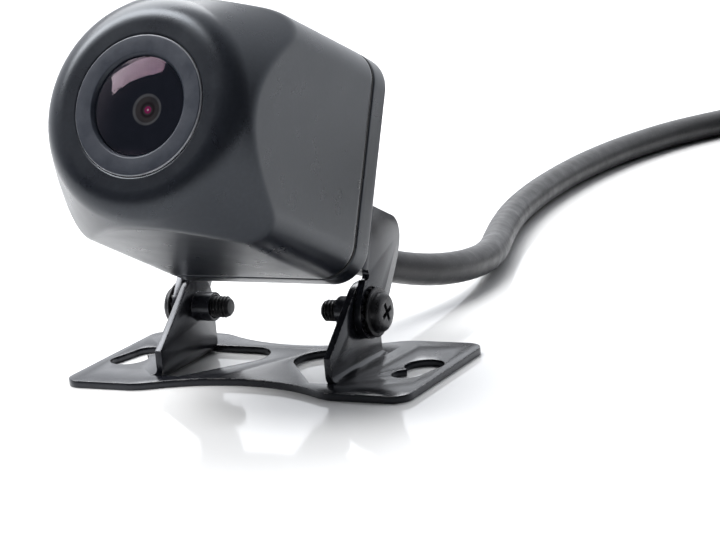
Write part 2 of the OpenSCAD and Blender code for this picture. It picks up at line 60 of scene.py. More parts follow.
HEAD_HALF = 15.07       # half the width of the square housing
CORNER_R = 4.5

HEAD = Matrix.Translation(PIVOT) @ Matrix.Rotation(-TILT, 4, "X")
BACKWARD = Matrix.Rotation(-QUARTER, 4, "X")


def lens_axis(depth=0.0):
    """Frame on the lens axis, Z pointing to the back, depth behind the flat front."""
    return HEAD @ Matrix.Translation((0, FRONT_Y + depth, AXIS_Z)) @ BACKWARD


def side_axis(sign, x=0.0):
    """Frame on the pivot axis, Z pointing out to one side, x away from the middle."""
    turn = Matrix.Rotation(sign * QUARTER, 4, "Y")
    return Matrix.Translation(PIVOT + Vector((sign * x, 0, 0))) @ turn


# ---- camera ---------------------------------------------------------------------------

def photo_camera():
    yaw, pitch, roll = (math.radians(a) for a in (27.795, 13.091, -5.321))
    right = Vector((math.cos(yaw), math.sin(yaw), 0))
    level = math.cos(pitch)
    back = Vector((math.sin(yaw) * level, -math.cos(yaw) * level, math.sin(pitch)))
    up = back.cross(right)
    across = right * math.cos(roll) + up * math.sin(roll)
    upward = up * math.cos(roll) - right * math.sin(roll)
    data = bpy.data.cameras.new("camera")
    data.lens = 130
    data.sensor_width = 36
    data.clip_start = 0.01
    cam = bpy.data.objects.new("camera", data)
    bpy.context.scene.collection.objects.link(cam)
    cam.matrix_world = Matrix((across, upward, back)).transposed().to_4x4()
    cam.location = Vector((165.397, -287.044, 89.172)) * MM
    bpy.context.scene.camera = cam


photo_camera()

# ---- mesh helpers ---------------------------------------------------------------------

class Shape:
    """Vertices and faces gathered from several parts, in millimetres."""

    def __init__(self):
        self.verts = []
        self.faces = []

    def add(self, part, matrix=Matrix.Identity(4)):
        base = len(self.verts)
        verts, faces = part
        self.verts += [matrix @ Vector(v) for v in verts]
        self.faces += [[base + i for i in f] for f in faces]
        return self


def link(name, mesh):
    obj = bpy.data.objects.new(name, mesh)
    bpy.context.scene.collection.objects.link(obj)
    return obj


def build(name, shape):
    mesh = bpy.data.meshes.new(name)
    mesh.from_pydata([v * MM for v in shape.verts], [], shape.faces)
    bm = bmesh.new()
    bm.from_mesh(mesh)
    bmesh.ops.remove_doubles(bm, verts=bm.verts, dist=1e-7)
    bmesh.ops.recalc_face_normals(bm, faces=bm.faces)
    bm.to_mesh(mesh)
    bm.free()
    return link(name, mesh)


def smooth(obj, angle=32):
    obj.data.shade_smooth()
    obj.data.set_sharp_from_angle(angle=math.radians(angle))
    return obj


def finish_piece(obj, material, body, nodes=(), angle=32):
    obj.data.materials.clear()
    obj.data.materials.append(material)
    smooth(obj, angle)
    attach(obj, body)
    if nodes:
        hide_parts(*nodes)
    return obj


def bevel_edges(obj, width, angle=35, segments=2):
    """Rounds every sharp edge and marks the new faces, where a coat wears first and where a
    lighter edge colour is painted on as a highlight.
    """
    bm = bmesh.new()
    bm.from_mesh(obj.data)
    mark = bm.faces.layers.float.new("edge")
    sharp = [
        e for e in bm.edges
        if len(e.link_faces) == 2 and e.calc_face_angle(0) > math.radians(angle)
    ]
    made = bmesh.ops.bevel(
        bm, geom=sharp, offset=width * MM, offset_type="OFFSET", segments=segments,
        profile=0.5, affect="EDGES", clamp_overlap=True,
    )
    for face in made["faces"]:
        face[mark] = 1.0
    bm.to_mesh(obj.data)
    bm.free()
    return obj


def from_cad(node, name):
    """A clean copy of a CAD node's mesh, its flat faces made whole again."""
    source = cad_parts[node].data
    mesh = bpy.data.meshes.new(name)
    verts = [v.co.copy() for v in source.vertices]
    mesh.from_pydata(verts, [], [list(p.vertices) for p in source.polygons])
    bm = bmesh.new()
    bm.from_mesh(mesh)
    bmesh.ops.remove_doubles(bm, verts=bm.verts, dist=2e-6)
    bmesh.ops.dissolve_limit(
        bm, angle_limit=math.radians(0.5), verts=bm.verts, edges=bm.edges,
        use_dissolve_boundaries=False,
    )
    bm.to_mesh(mesh)
    bm.free()
    return link(name, mesh)


def cut(obj, cutter):
    """Takes the cutter's volume out of obj, and removes the cutter."""
    mod = obj.modifiers.new("cut", "BOOLEAN")
    mod.object = cutter
    mod.solver = "EXACT"
    mod.operation = "DIFFERENCE"
    depsgraph = bpy.context.evaluated_depsgraph_get()
    mesh = bpy.data.meshes.new_from_object(obj.evaluated_get(depsgraph))
    obj.modifiers.clear()
    obj.data = mesh
    bpy.data.objects.remove(cutter)
    return obj


def fillet(points, radius, steps=4):
    """Rounds the corners of an open line of points; radius is one number or one each."""
    radii = radius if isinstance(radius, (list, tuple)) else [radius] * len(points)
    out = [points[0]]
    for i in range(1, len(points) - 1):
        p, q, r = (Vector(points[i + k]) for k in (-1, 0, 1))
        reach = min(radii[i], (p - q).length * 0.48, (r - q).length * 0.48)
        a = q + (p - q).normalized() * reach
        b = q + (r - q).normalized() * reach
        if radii[i] <= 0:
            out.append(tuple(q))
            continue
        for k in range(steps + 1):
            t = k / steps
            out.append(tuple(a * (1 - t) ** 2 + q * 2 * t * (1 - t) + b * t * t))
    return out + [points[-1]]


def round_point(r, angle, z):
    return (r * math.cos(angle), r * math.sin(angle), z)


def ring_angles(sides):
    return [2 * math.pi * k / sides for k in range(sides)]


def round_ring(z, r, sides):
    """A ring of points about Z at height z."""
    return [round_point(r, a, z) for a in ring_angles(sides)]


def stack(rings, closed=False):
    """A skin over rings of equal length. Open stacks get a face at each end."""
    n = len(rings[0])
    verts = [v for ring in rings for v in ring]
    faces = []
    count = len(rings)
    for i in range(count if closed else count - 1):
        low, high = i * n, (i + 1) % count * n
        for k in range(n):
            after = (k + 1) % n
            faces.append([low + k, low + after, high + after, high + k])
    if not closed:
        faces += [list(range(n)), [(count - 1) * n + k for k in range(n)]]
    return verts, faces


def lathe(profile, sides=96, closed=False):
    """Turns (radius, height) points about Z. A point on the axis is set just off it."""
    return stack([round_ring(z, max(r, 0.001), sides) for r, z in profile], closed)


def arc(cx, cz, r, a0, a1, steps):
    """Points on an arc about (cx, cz), from a0 to a1 degrees."""
    out = []
    for i in range(steps + 1):
        a = math.radians(a0 + (a1 - a0) * i / steps)
        out.append((cx + r * math.cos(a), cz + r * math.sin(a)))
    return out


def cross_cutter(width, arm, depth):
    """A cross recess that narrows downward, its top open above z = 0."""
    b, a = width / 2, arm / 2
    outline = [
        (b, a), (a, a), (a, b), (-a, b), (-a, a), (-b, a),
        (-b, -a), (-a, -a), (-a, -b), (a, -b), (a, -a), (b, -a),
    ]

    def level(z, arm_scale, end_scale):
        scaled = [[c * (arm_scale if abs(c) == a else end_scale) for c in xy] for xy in outline]
        return [(x, y, z) for x, y in scaled]

    return stack([level(-depth, 0.62, 0.38), level(0.6, 1, 1.1)])


# ---- materials ------------------------------------------------------------------------

class Look:
    """A procedural material on the Principled shader, in the object's own coordinates."""

    def __init__(self, name, colour, roughness, metallic=0.0):
        self.mat = bpy.data.materials.new(name)
        self.mat.use_nodes = True
        self.nodes = self.mat.node_tree.nodes
        self.links = self.mat.node_tree.links
        self.shader = self.nodes["Principled BSDF"]
        self.coords = self.nodes.new("ShaderNodeTexCoord").outputs["Object"]
        self.height = None
        self.colour = None
        self.rough = None
        self.put("Base Color", (*colour, 1))
        self.put("Roughness", roughness)
        self.put("Metallic", metallic)
        self.base = (*colour, 1)
        self.base_rough = roughness

    def put(self, socket, value):
        self.shader.inputs[socket].default_value = value
        return self

    def noise(self, scale, detail=3.0, stretch=(1, 1, 1), rough=0.5):
        mapping = self.nodes.new("ShaderNodeMapping")
        mapping.inputs["Scale"].default_value = stretch
        self.links.new(self.coords, mapping.inputs["Vector"])
        node = self.nodes.new("ShaderNodeTexNoise")
        node.inputs["Scale"].default_value = scale
        node.inputs["Detail"].default_value = detail
        node.inputs["Roughness"].default_value = rough
        self.links.new(mapping.outputs["Vector"], node.inputs["Vector"])
        return node.outputs["Fac"]

    def ramp(self, fac, low, high, to_low=0.0, to_high=1.0):
        node = self.nodes.new("ShaderNodeMapRange")
        node.inputs["From Min"].default_value = low
        node.inputs["From Max"].default_value = high
        node.inputs["To Min"].default_value = to_low
        node.inputs["To Max"].default_value = to_high
        self.links.new(fac, node.inputs["Value"])
        return node.outputs["Result"]

    def math(self, operation, a, b):
        node = self.nodes.new("ShaderNodeMath")
        node.operation = operation
        for socket, value in zip(node.inputs, (a, b)):
            if isinstance(value, (int, float)):
                socket.default_value = value
            else:
                self.links.new(value, socket)
        return node.outputs["Value"]

    def tint(self, fac, colour):
        """Mixes a colour over what is there, by fac."""
        node = self.nodes.new("ShaderNodeMix")
        node.data_type = "RGBA"
        under, over = [s for s in node.inputs if s.type == "RGBA"]
        if self.colour is None:
            under.default_value = self.base
        else:
            self.links.new(self.colour, under)
        over.default_value = (*colour, 1)
        self.links.new(fac, node.inputs["Factor"])
        self.colour = [s for s in node.outputs if s.type == "RGBA"][0]
        self.links.new(self.colour, self.shader.inputs["Base Color"])
        return self

    def gloss(self, fac, amount):
        """Adds fac times amount to the roughness."""
        part = self.math("MULTIPLY", fac, amount)
        start = self.base_rough if self.rough is None else self.rough
        self.rough = self.math("ADD", part, start)
        self.links.new(self.rough, self.shader.inputs["Roughness"])
        return self

    def bump(self, fac, distance, strength=1.0):
        node = self.nodes.new("ShaderNodeBump")
        node.inputs["Distance"].default_value = distance * MM
        node.inputs["Strength"].default_value = strength
        self.links.new(fac, node.inputs["Height"])
        if self.height is not None:
            self.links.new(self.height, node.inputs["Normal"])
        self.height = node.outputs["Normal"]
        self.links.new(self.height, self.shader.inputs["Normal"])
        return self

    def attribute(self, name):
        node = self.nodes.new("ShaderNodeAttribute")
        node.attribute_name = name
        return node.outputs["Fac"]


def satin_paint():
    look = Look("satin_paint", (0.0052, 0.0062, 0.0095), 0.29)
    look.put("Specular Tint", (0.86, 0.92, 1.0, 1))
    look.put("IOR", 1.5)
    look.tint(look.ramp(look.noise(70, 3), 0.35, 0.7, 0, 0.5), (0.0095, 0.0105, 0.014))
    look.tint(look.ramp(look.noise(1900, 3), 0.42, 0.8, 0, 0.4), (0.016, 0.018, 0.024))
    look.gloss(look.ramp(look.noise(260, 4), 0.3, 0.7, -0.5, 0.5), 0.05)
    look.bump(look.noise(2600, 2), 0.0012)
    look.bump(look.noise(700, 2), 0.0008)
    return look.mat


def gloss_coat():
    look = Look("gloss_coat", (0.006, 0.0065, 0.0095), 0.2)
    look.put("Specular Tint", (0.9, 0.93, 1.0, 1))
    look.put("IOR", 1.5)
    look.tint(look.ramp(look.noise(120, 3), 0.4, 0.7, 0, 0.6), (0.011, 0.011, 0.013))
    edge_mark_patches = look.ramp(look.noise(700, 4), 0.5, 0.72, 0.0, 1.0)
    # Bevelled edges painted lighter in patches: partly edge wear, partly a painted highlight along
    # the edges.
    wear_and_edge_highlight = look.math("MULTIPLY", look.attribute("edge"), edge_mark_patches)
    look.tint(wear_and_edge_highlight, (0.16, 0.155, 0.15))
    look.gloss(look.ramp(look.noise(350, 4), 0.35, 0.75, 0, 1), 0.07)
    look.gloss(wear_and_edge_highlight, 0.2)
    fine = look.noise(900, 3, (1, 0.08, 1))
    look.gloss(look.ramp(fine, 0.6, 0.75, 0, 1), 0.06)
    look.bump(look.noise(520, 2), 0.003)
    look.bump(look.noise(2600, 2), 0.003)
    return look.mat


def black_zinc():
    look = Look("black_zinc", (0.02, 0.02, 0.022), 0.24, 0.55)
    look.tint(look.ramp(look.noise(900, 4), 0.5, 0.75, 0, 0.7), (0.06, 0.06, 0.064))
    edge_mark_patches = look.ramp(look.noise(1500, 3), 0.4, 0.7, 0, 1)
    # Bevelled edges painted lighter in patches: partly edge wear, partly a painted highlight along
    # the edges.
    wear_and_edge_highlight = look.math("MULTIPLY", look.attribute("edge"), edge_mark_patches)
    look.tint(wear_and_edge_highlight, (0.32, 0.31, 0.3))
    look.gloss(look.ramp(look.noise(1300, 3), 0.3, 0.7, 0, 1), 0.16)
    look.bump(look.noise(2400, 3), 0.006)
    return look.mat


def trim_metal():
    look = Look("trim_metal", (0.016, 0.02, 0.031), 0.42, 0.3)
    look.tint(look.ramp(look.noise(1800, 3), 0.45, 0.75, 0, 0.6), (0.024, 0.029, 0.042))
    # Painted highlight: a thin light line round the outer edge of the ring, broken up by noise.
    painted_rim_highlight = look.ramp(look.attribute("from_axis"), 8.62, 8.7)
    bright = look.ramp(look.noise(160, 3), 0.35, 0.65, 0.35, 1)
    look.tint(look.math("MULTIPLY", painted_rim_highlight, bright), (0.42, 0.43, 0.46))
    look.gloss(look.ramp(look.noise(600, 3), 0.3, 0.7, -0.5, 0.5), 0.12)
    look.bump(look.noise(3600, 2), 0.006)
    return look.mat


def lens_glass():
    look = Look("lens_glass", (0.96, 0.96, 0.98), 0.012)
    look.put("Transmission Weight", 1.0).put("IOR", 1.22)
    look.put("Specular Tint", (1.0, 0.6, 0.85, 1))
    look.gloss(look.ramp(look.noise(300, 4), 0.6, 0.8, 0, 1), 0.01)
    return look.mat


def lens_black():
    """What shows through the front glass, coloured by distance from the lens axis.

    From outside in: a blue-black wall, a grey lip, a dim dish with a dark ring in it,
    and a magenta pupil, which is a painted reflection, with a painted highlight at its middle.
    It gives off a little light, so that it shows in its well.
    """
    look = Look("lens_cell", (0.012, 0.0145, 0.021), 0.7)
    look.put("Specular IOR Level", 0.0)
    radius = look.attribute("from_axis")
    turned = look.ramp(look.noise(700, 3), 0.3, 0.7, 0.5, 1)
    look.tint(look.math("MULTIPLY", look.ramp(radius, 6.1, 5.3), turned), (0.0165, 0.019, 0.028))
    dish = look.math("MULTIPLY", look.ramp(radius, 1.62, 1.5), turned)
    look.tint(dish, (0.05, 0.045, 0.047))
    lip = look.math("MULTIPLY", look.ramp(radius, 1.48, 1.6), look.ramp(radius, 1.92, 1.78))
    look.tint(look.math("MULTIPLY", lip, turned), (0.11, 0.112, 0.12))
    halo = look.math("MULTIPLY", look.ramp(radius, 1.05, 0.8), look.ramp(radius, 0.56, 0.7))
    look.tint(halo, (0.022, 0.017, 0.02))
    # Painted reflection: the magenta pupil.
    look.tint(look.ramp(radius, 0.5, 0.36), (0.24, 0.022, 0.1))
    # Painted highlight: a small light dot at the middle of the pupil.
    look.tint(look.ramp(radius, 0.16, 0.1), (0.5, 0.36, 0.42))
    look.links.new(look.colour, look.shader.inputs["Emission Color"])
    look.put("Emission Strength", 0.55)
    return look.mat


def black_matte(name="black_matte", tone=0.012, rough=0.7):
    look = Look(name, (tone, tone, tone * 1.08), rough)
    look.tint(look.ramp(look.noise(1500, 3), 0.45, 0.75, 0, 0.6), (tone * 2, tone * 2, tone * 2.1))
    look.bump(look.noise(5000, 2), 0.01)
    return look.mat


def moulded_rubber():
    look = Look("moulded_rubber", (0.017, 0.017, 0.0185), 0.5)
    look.tint(look.ramp(look.noise(420, 4), 0.45, 0.75, 0, 0.7), (0.032, 0.032, 0.034))
    look.gloss(look.ramp(look.noise(700, 3), 0.3, 0.7, -0.5, 0.5), 0.16)
    look.bump(look.noise(3000, 3), 0.012)
    return look.mat


def lead_jacket():
    look = Look("lead_jacket", (0.026, 0.026, 0.028), 0.44)
    look.tint(look.ramp(look.noise(160, 4), 0.4, 0.75, 0, 0.8), (0.044, 0.044, 0.047))
    look.tint(look.ramp(look.noise(2600, 3), 0.6, 0.8, 0, 0.6), (0.085, 0.085, 0.09))
    look.gloss(look.ramp(look.noise(500, 4), 0.3, 0.75, -0.4, 0.6), 0.22)
    look.bump(look.noise(1500, 3), 0.02)
    look.bump(look.noise(4200, 2), 0.01)
    return look.mat


def plated(name, colour, rough=0.28):
    look = Look(name, colour, rough, 1.0)
    light = tuple(min(1, c * 1.18) for c in colour)
    look.tint(look.ramp(look.noise(500, 4), 0.4, 0.75, 0, 0.6), light)
    look.gloss(look.ramp(look.noise(900, 4, (1, 0.1, 1)), 0.3, 0.7, -0.3, 0.7), 0.18)
    look.bump(look.noise(2600, 3, (1, 0.15, 1)), 0.005)
    return look.mat


def board_mask():
    look = Look("board_mask", (0.008, 0.06, 0.03), 0.32)
    weave = look.nodes.new("ShaderNodeTexWave")
    weave.inputs["Scale"].default_value = 900
    weave.inputs["Distortion"].default_value = 1.5
    look.links.new(look.coords, weave.inputs["Vector"])
    look.tint(look.ramp(weave.outputs["Fac"], 0.6, 0.9, 0, 0.5), (0.02, 0.12, 0.06))
    look.gloss(look.ramp(look.noise(900, 3), 0.3, 0.7), 0.15)
    look.bump(weave.outputs["Fac"], 0.004)
    return look.mat


def plain_plastic(name, colour, rough=0.45):
    look = Look(name, colour, rough)
    light = tuple(min(1, c * 1.5 + 0.01) for c in colour)
    look.tint(look.ramp(look.noise(500, 3), 0.4, 0.75, 0, 0.5), light)
    look.gloss(look.ramp(look.noise(900, 3), 0.3, 0.7, -0.5, 0.5), 0.14)
    look.bump(look.noise(3800, 2), 0.008)
    return look.mat


PAINT = satin_paint()
COAT = gloss_coat()
ZINC = black_zinc()
TRIM = trim_metal()
GLASS = lens_glass()
CELL = lens_black()
MATTE = black_matte()
SEAL = black_matte("gasket_rubber", 0.006, 0.8)
RUBBER = moulded_rubber()
JACKET = lead_jacket()
NICKEL = plated("nickel_plate", (0.55, 0.54, 0.52))
GOLD = plated("gold_plate", (0.85, 0.62, 0.27), 0.24)
STEEL = plated("bright_steel", (0.5, 0.5, 0.52), 0.32)
BOARD = board_mask()
CHIP = plain_plastic("chip_epoxy", (0.012, 0.012, 0.013), 0.5)
HEADER = plain_plastic("header_nylon", (0.62, 0.58, 0.5), 0.4)
WIRE = plain_plastic("wire_insulation", (0.35, 0.02, 0.02), 0.35)
INSERT = plain_plastic("insert_plastic", (0.014, 0.014, 0.015), 0.4)
SENSOR = plain_plastic("sensor_die", (0.03, 0.035, 0.05), 0.12)
FILTER = plain_plastic("ir_filter_glass", (0.05, 0.16, 0.17), 0.06)

# Pieces inside the housing keep their CAD meshes and only get a material.
INNER_LOOKS = {
    "cover_gasket": SEAL, "trim_seal": SEAL, "lens_barrel": MATTE, "second_lens": GLASS,
    "aperture_stop": MATTE, "third_lens": GLASS, "lens_spacer": MATTE, "rear_lens": GLASS,
    "lens_retainer": MATTE, "sensor_holder": INSERT, "ir_filter": FILTER,
    "image_sensor": SENSOR, "sensor_board": BOARD, "board_spacers": GOLD,
    "processor_board": BOARD, "processor_chip": CHIP, "board_screws": STEEL,
    "lead_header": HEADER, "inner_leads": WIRE,
}
for node_name, material in INNER_LOOKS.items():
    node_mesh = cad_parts[node_name].data
    node_mesh.materials.clear()
    node_mesh.materials.append(material)

# ---- lead -----------------------------------------------------------------------------

LEAD_R = 2.3
COIL_C = (42.0, 157.0)
COIL_OUTER = 25.5       # radius of the outer turns, and of the inner ones
COIL_INNER = 20.9
LAYER_LOW = LEAD_R      # height of the lower turns, and of the upper ones
LAYER_HIGH = 3 * LEAD_R
COIL_START = 131.3      # degrees, where the lead joins the coil
WHOLE_TURNS = 1080
MOVE_IN = (300, 360)    # degrees of winding over which the lead changes its turn
MOVE_UP = (600, 660)
MOVE_OUT = (840, 900)
PLUG_X = 62.0
PLUG_Y = 124.0
PLUG_H = 7.0
TIE_ANGLE = 205.0
TIE_LIFT = 0.3          # how far the strap under the coil lifts it
TIE_SPREAD = 14         # degrees over which the lift fades

# The lead from the gland to the coil: down to the floor, then along it.
ROUTE = [
    (0.1, 16.5, 12.6), (0.8, 20, 10.9), (2.4, 23.5, 9.1), (4.6, 27, 7.4), (6.5, 31, 6),
    (7.9, 35, 5), (8.7, 39.5, 4.2), (8.9, 44, 3.6), (8.4, 50, 3), (6.8, 57, 2.6),
    (4.5, 64, 2.4), (2, 72, 2.3), (-0.5, 82, 2.3), (-2.2, 93, 2.3), (-3, 104, 2.3),
    (-3, 115, 2.3), (-2, 126, 2.3), (0, 136, 2.3), (3.2, 146, 2.3), (8.2, 155.4, 2.3),
    (14.3, 164, 2.3), (20, 171.2, 2.3),
]
GLAND_END = HEAD @ Vector((0, REAR_Y + 12, EXIT_Z))
TAIL = [
    (67, 149, 6.9), (65.7, 142, 6.9), (63.9, 135.5, 6.9), (62.4, 130, 7),
    (PLUG_X, 126.5, PLUG_H), (PLUG_X, PLUG_Y, PLUG_H),
]


def ease(value, start, end):
    """Rises smoothly from 0 at start to 1 at end."""
    t = min(1, max(0, (value - start) / (end - start)))
    return t * t * (3 - 2 * t)


def coil_points(step=12):
    """Turns beside and on each other: outer and inner below, inner and outer above."""
    out = []
    progress = step
    while progress < WHOLE_TURNS + COIL_START + 0.1:
        inward = ease(progress, *MOVE_IN) - ease(progress, *MOVE_OUT)
        radius = COIL_OUTER + (COIL_INNER - COIL_OUTER) * inward
        height = LAYER_LOW + (LAYER_HIGH - LAYER_LOW) * ease(progress, *MOVE_UP)
        angle = COIL_START - progress
        off = (angle - TIE_ANGLE + 180) % 360 - 180
        height += TIE_LIFT * math.exp(-(off / TIE_SPREAD) ** 2)
        x, y, z = round_point(radius, math.radians(angle), height)
        out.append((COIL_C[0] + x, COIL_C[1] + y, z))
        progress += step
    return out


def spline(points, step=1.0):
    """A smooth curve through the points, sampled about every step."""
    pts = [Vector(p) for p in points]
    pts = [pts[0] * 2 - pts[1]] + pts + [pts[-1] * 2 - pts[-2]]
    out = []
    for i in range(1, len(pts) - 2):
        a, b, c, d = pts[i - 1:i + 3]
        count = max(2, round((c - b).length / step))
        for k in range(count):
            t = k / count
            out.append(0.5 * (
                2 * b + (c - a) * t + (2 * a - 5 * b + 4 * c - d) * t * t
                + (3 * b - a - 3 * c + d) * t ** 3
            ))
    return out + [pts[-2]]


def tube(path, radius, sides=24):
    """A round skin along a path, its sides turning as little as the path lets them."""
    rings = []
    side = None
    for i, p in enumerate(path):
        ahead = (path[min(i + 1, len(path) - 1)] - path[max(i - 1, 0)]).normalized()
        if side is None:
            side = ahead.cross(Vector((0, 0, 1))).normalized()
        side = (side - ahead * side.dot(ahead)).normalized()
        up = side.cross(ahead)
        r = radius(i) if callable(radius) else radius
        rings.append([
            p + side * (r * math.cos(a)) + up * (r * math.sin(a)) for a in ring_angles(sides)
        ])
    return stack(rings)


inside_gland = HEAD @ Vector((0, REAR_Y + 10, EXIT_Z))
inside_boot = (PLUG_X, PLUG_Y - 2, PLUG_H)
lead_path = spline([
    tuple(inside_gland), tuple(GLAND_END), *ROUTE, *coil_points(), *TAIL, inside_boot,
])


def lead_radius(i):
    """The jacket creases a little where it bends, about 57 mm along the path."""
    crease = math.exp(-((i - 57) / 16.0) ** 2)
    return LEAD_R + 0.02 * math.sin(i * 2.1) * crease


lead = build("lead", Shape().add(tube(lead_path, lead_radius)))
lead.data.materials.append(JACKET)
smooth(lead, 60)
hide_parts("cable_lead", "cable_coil", "cable_tail")


def tie_strap():
    """A flat strap round the coil's four strands, with its head on top."""
    a = math.radians(TIE_ANGLE)
    mid = (COIL_OUTER + COIL_INNER) / 2
    half_w = 2 * LEAD_R + 0.08
    low, high = 0.02, LAYER_HIGH + LEAD_R + TIE_LIFT + 0.05
    thick, width, corner = 0.26, 2.4, 1.9
    outline = []
    zc = (low + high) / 2
    half_h = (high - low) / 2
    for cx, cz, start in ((1, 1, 0), (-1, 1, 90), (-1, -1, 180), (1, -1, 270)):
        for k in range(9):
            t = math.radians(start + 90 * k / 8)
            centre = (cx * (half_w - corner), cz * (half_h - corner))
            outline.append((*centre, math.cos(t), math.sin(t)))
    rings = []
    for off, w in ((thick, -width / 2), (thick, width / 2), (0, width / 2), (0, -width / 2)):
        ring = []
        for ox, oz, c, s in outline:
            outward = off * (1 if s > -0.5 else 0.06)   # the strap is pressed thin below
            x = mid + ox + (corner + off) * c
            ring.append((x, w, zc + oz + (corner + outward) * s))
        rings.append(ring)
    place = Matrix.Translation((COIL_C[0], COIL_C[1], 0)) @ Matrix.Rotation(a, 4, "Z")
    shape = Shape().add(stack(rings, closed=True), place)
    lock = fillet([(-1.6, 0), (-1.6, 1.5), (1.6, 1.5), (1.6, 0)], 0.4, 3)
    block = [[(mid + 1.2 + x, w, high + z) for x, z in lock] for w in (-1.9, 1.9)]
    return shape.add(stack(block), place)


tie = build("lead_tie", tie_strap())
finish_piece(tie, INSERT, "bracket")

# ---- gland and plug -------------------------------------------------------------------

def ribbed(z0, z1, r0, r1, count, depth):
    """Profile of a tapered sleeve with moulded rings."""
    out = []
    pitch = (z1 - z0) / count
    for i in range(count):
        for part, low in ((0.0, 0), (0.52, 0), (0.62, 1), (0.9, 1)):
            z = z0 + pitch * (i + part)
            r = r0 + (r1 - r0) * (z - z0) / (z1 - z0)
            out.append((r - depth * low, z))
    return out + [(r1, z1)]


gland_profile = fillet(
    [(0, -3.9), (3.2, -3.9), (3.2, 0.0), (4.4, 0.0), (4.4, 1.5), (3.9, 2.3)]
    + ribbed(2.9, 11.2, 3.75, 3.0, 6, 0.42)
    + [(2.95, 12.0), (2.4, 12.0), (2.33, 11.0), (0, 11.0)], 0.16, 3,
)
gland_place = HEAD @ Matrix.Translation((0, REAR_Y, EXIT_Z)) @ BACKWARD
gland = build("gland", Shape().add(lathe(gland_profile, 72), gland_place))
finish_piece(gland, RUBBER, "head", ["cable_gland"])

PLUG = Matrix.Translation((PLUG_X, PLUG_Y, PLUG_H)) @ Matrix.Rotation(QUARTER, 4, "X")


def plug_axis(along):
    return PLUG @ Matrix.Translation((0, 0, along))


boot_profile = fillet(
    [(0, 0.6), (2.35, 0.6), (2.45, 0), (2.9, 0)] + ribbed(0.8, 11, 2.95, 4.1, 6, 0.5)
    + [(4.3, 12), (4.3, 15), (0, 15)], 0.18, 3,
)
boot = build("plug_boot_ribbed", Shape().add(lathe(boot_profile, 64), PLUG))
finish_piece(boot, RUBBER, "bracket", ["plug_boot"])

shell_profile = fillet([
    (0, 0.02), (4.9, 0.02), (5.4, 0.6), (5.4, 3.2), (5.15, 3.4), (5.15, 3.9), (5.4, 4.1),
    (5.4, 8.2), (5.4, 10), (6, 10), (6, 11.5), (5.4, 11.5), (5.4, 27), (4.6, 27),
    (4.6, 14.02), (0, 14.02),
], 0.14, 3)
shell = build("plug_shell_turned", Shape().add(lathe(shell_profile, 96), plug_axis(15)))
finish_piece(shell, NICKEL, "bracket", ["plug_shell"])

insert = bevel_edges(from_cad("plug_insert", "plug_insert_soft"), 0.12)
finish_piece(insert, INSERT, "bracket", ["plug_insert"])

pin_profile = [(0, 0), (0.5, 0), (0.5, 9.5)] + arc(0, 9.5, 0.5, 12, 84, 6) + [(0, 10)]
pins = Shape()
for quarter in range(4):
    turn = Matrix.Rotation(math.radians(45 + 90 * quarter), 4, "Z")
    pins.add(lathe(pin_profile, 24), plug_axis(30) @ turn @ Matrix.Translation((2.2, 0, 0)))
pin_piece = build("plug_pins_turned", pins)
finish_piece(pin_piece, GOLD, "bracket", ["plug_pins"])


COLLAR_SIDES = 288
COLLAR_R = 7.0
COLLAR_BORE = 5.46
COLLAR_FACE = 6.5
COLLAR_L = 13.5
GRIPS = 18


def grip_ring(z):
    """A ring with a groove between each two of the grips round the nut."""
    ring = []
    for a in ring_angles(COLLAR_SIDES):
        wave = 0.5 + 0.5 * math.cos(GRIPS * a)
        ring.append(round_point(COLLAR_R - 0.42 * (1 - wave) ** 3, a, z))
    return ring


def collar_band(rows):
    return [round_ring(z, r, COLLAR_SIDES) for z, r in rows]


collar_rings = collar_band([
    (0.0, COLLAR_BORE), (0.0, COLLAR_FACE), (0.12, COLLAR_R * 0.965), (0.45, COLLAR_R),
    (1.7, COLLAR_R),
])
collar_rings += [grip_ring(z) for z in (2.2, 6.7, 11.2)]
collar_rings += collar_band([
    (11.7, COLLAR_R), (13.0, COLLAR_R), (13.35, COLLAR_R * 0.97), (COLLAR_L, COLLAR_FACE),
    (COLLAR_L, COLLAR_BORE),
])
collar = build("coupling_nut", Shape().add(stack(collar_rings, closed=True), plug_axis(26.6)))
finish_piece(collar, NICKEL, "collar", ["plug_collar"])

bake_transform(lead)

# ---- head -----------------------------------------------------------------------------

SIDES = 320
DRAFT = math.radians(1.2)
NOSE_R = 12.95          # radius of the nose's cone where it meets the front plane
NOSE_K = 0.54           # how much the cone widens per millimetre of depth
NOSE_SOFT = 0.38        # how soft the edge is where the cone meets the flat sides
SHOULDER_R = 4.0
NOSE_A = math.atan(NOSE_K)
SHOULDER_C = NOSE_R + NOSE_K * SHOULDER_R - SHOULDER_R / math.cos(NOSE_A)
TRIM_SEAT_R = 8.8       # the recess that the trim ring sits in
TRIM_SEAT_Z = 1.95
BARREL_R = 7.4          # the opening behind it, for the lens barrel
INSIDE_HALF = 13.4
INSIDE_Z = 14.0
SCREW_X = 11            # the cover screws, from the lens axis
SCREW_Y = -11
YOKE_SCREW_X = 9        # the yoke's screws, from the lens axis
YOKE_SCREW_DROP = 9.6


def square_reach(angle, half, corner):
    """Distance from the middle of a rounded square to its edge, at an angle."""
    c, s = abs(math.cos(angle)), abs(math.sin(angle))
    m = half - corner
    if half * s <= m * c:
        return half / c
    if half * c <= m * s:
        return half / s
    return m * (c + s) + math.sqrt(max(0, corner ** 2 - (m * (c - s)) ** 2))


def soft_min(a, b, k):
    """The smaller of a and b, rounded where they are within k of each other."""
    h = max(k - abs(a - b), 0) / k
    return min(a, b) - h * h * k * 0.25


def square_ring(z, half, corner, inset=0.0):
    angles = ring_angles(SIDES)
    return [round_point(square_reach(a, half, corner) - inset, a, z) for a in angles]


